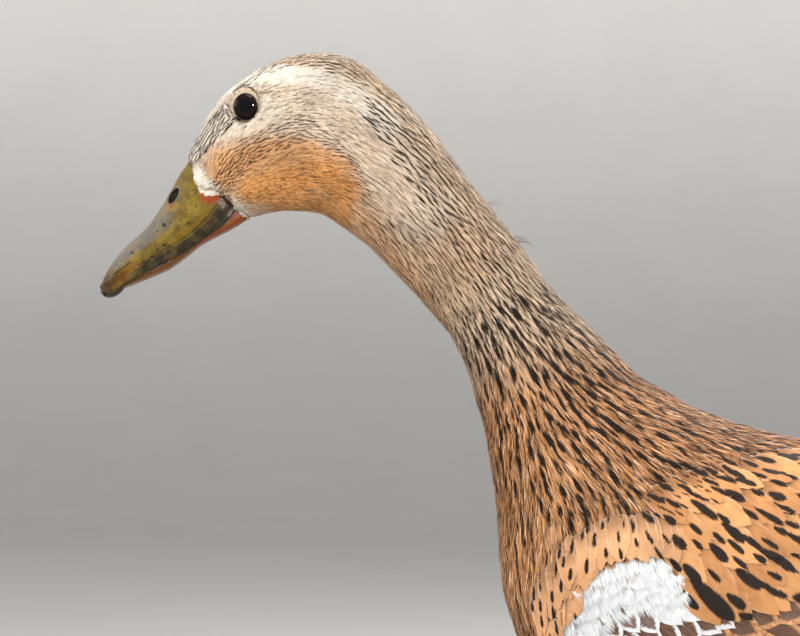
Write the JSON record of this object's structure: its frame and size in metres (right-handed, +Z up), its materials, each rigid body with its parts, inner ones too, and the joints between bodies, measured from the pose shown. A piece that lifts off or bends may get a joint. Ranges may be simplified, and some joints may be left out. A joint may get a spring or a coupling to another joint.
{
  "type": "duck",
  "caption": "Life-size standing domestic duck hen of the slim upright Runner type, neck stretched forward and bill lowered, with folded wings.",
  "frame": {"origin": "on the floor under the middle of the whole bird, halfway between the tip of the bill and the tip of the tail", "axes": "+Z up, -X the way the bird faces, -Y its left side; the bird is the same on both sides of the plane Y = 0"},
  "size_m": [0.5002, 0.1356, 0.3852],
  "materials": {
    "plumage": "soft feathers, buff with dark brown teardrop spots",
    "quills": "smooth vaned feathers, buff brown with dark centres",
    "bill": "smooth, slightly waxy, olive with dark flecks",
    "nail": "polished horn",
    "eye": "wet and glossy, dark brown",
    "leg": "scaled skin, dull orange with dark smudges",
    "claw": "worn horn"
  },
  "bodies": {
    "root": {"head": "plumage", "neck_upper": "plumage", "neck_lower": "plumage", "trunk": "plumage", "tail_coverts": "plumage", "tail_fan": "quills", "wing_left": "quills", "wing_right": "quills", "thigh_left": "plumage", "thigh_right": "plumage", "bill_upper": "bill", "bill_lower": "bill", "bill_nail": "nail", "eye_left": "eye", "eye_right": "eye", "shank_left": "leg", "shank_right": "leg", "foot_left": "leg", "foot_right": "leg", "claw_inner_left": "claw", "claw_inner_right": "claw", "claw_middle_left": "claw", "claw_middle_right": "claw", "claw_outer_left": "claw", "claw_outer_right": "claw", "claw_hind_left": "claw", "claw_hind_right": "claw"}
  },
  "joints": []
}
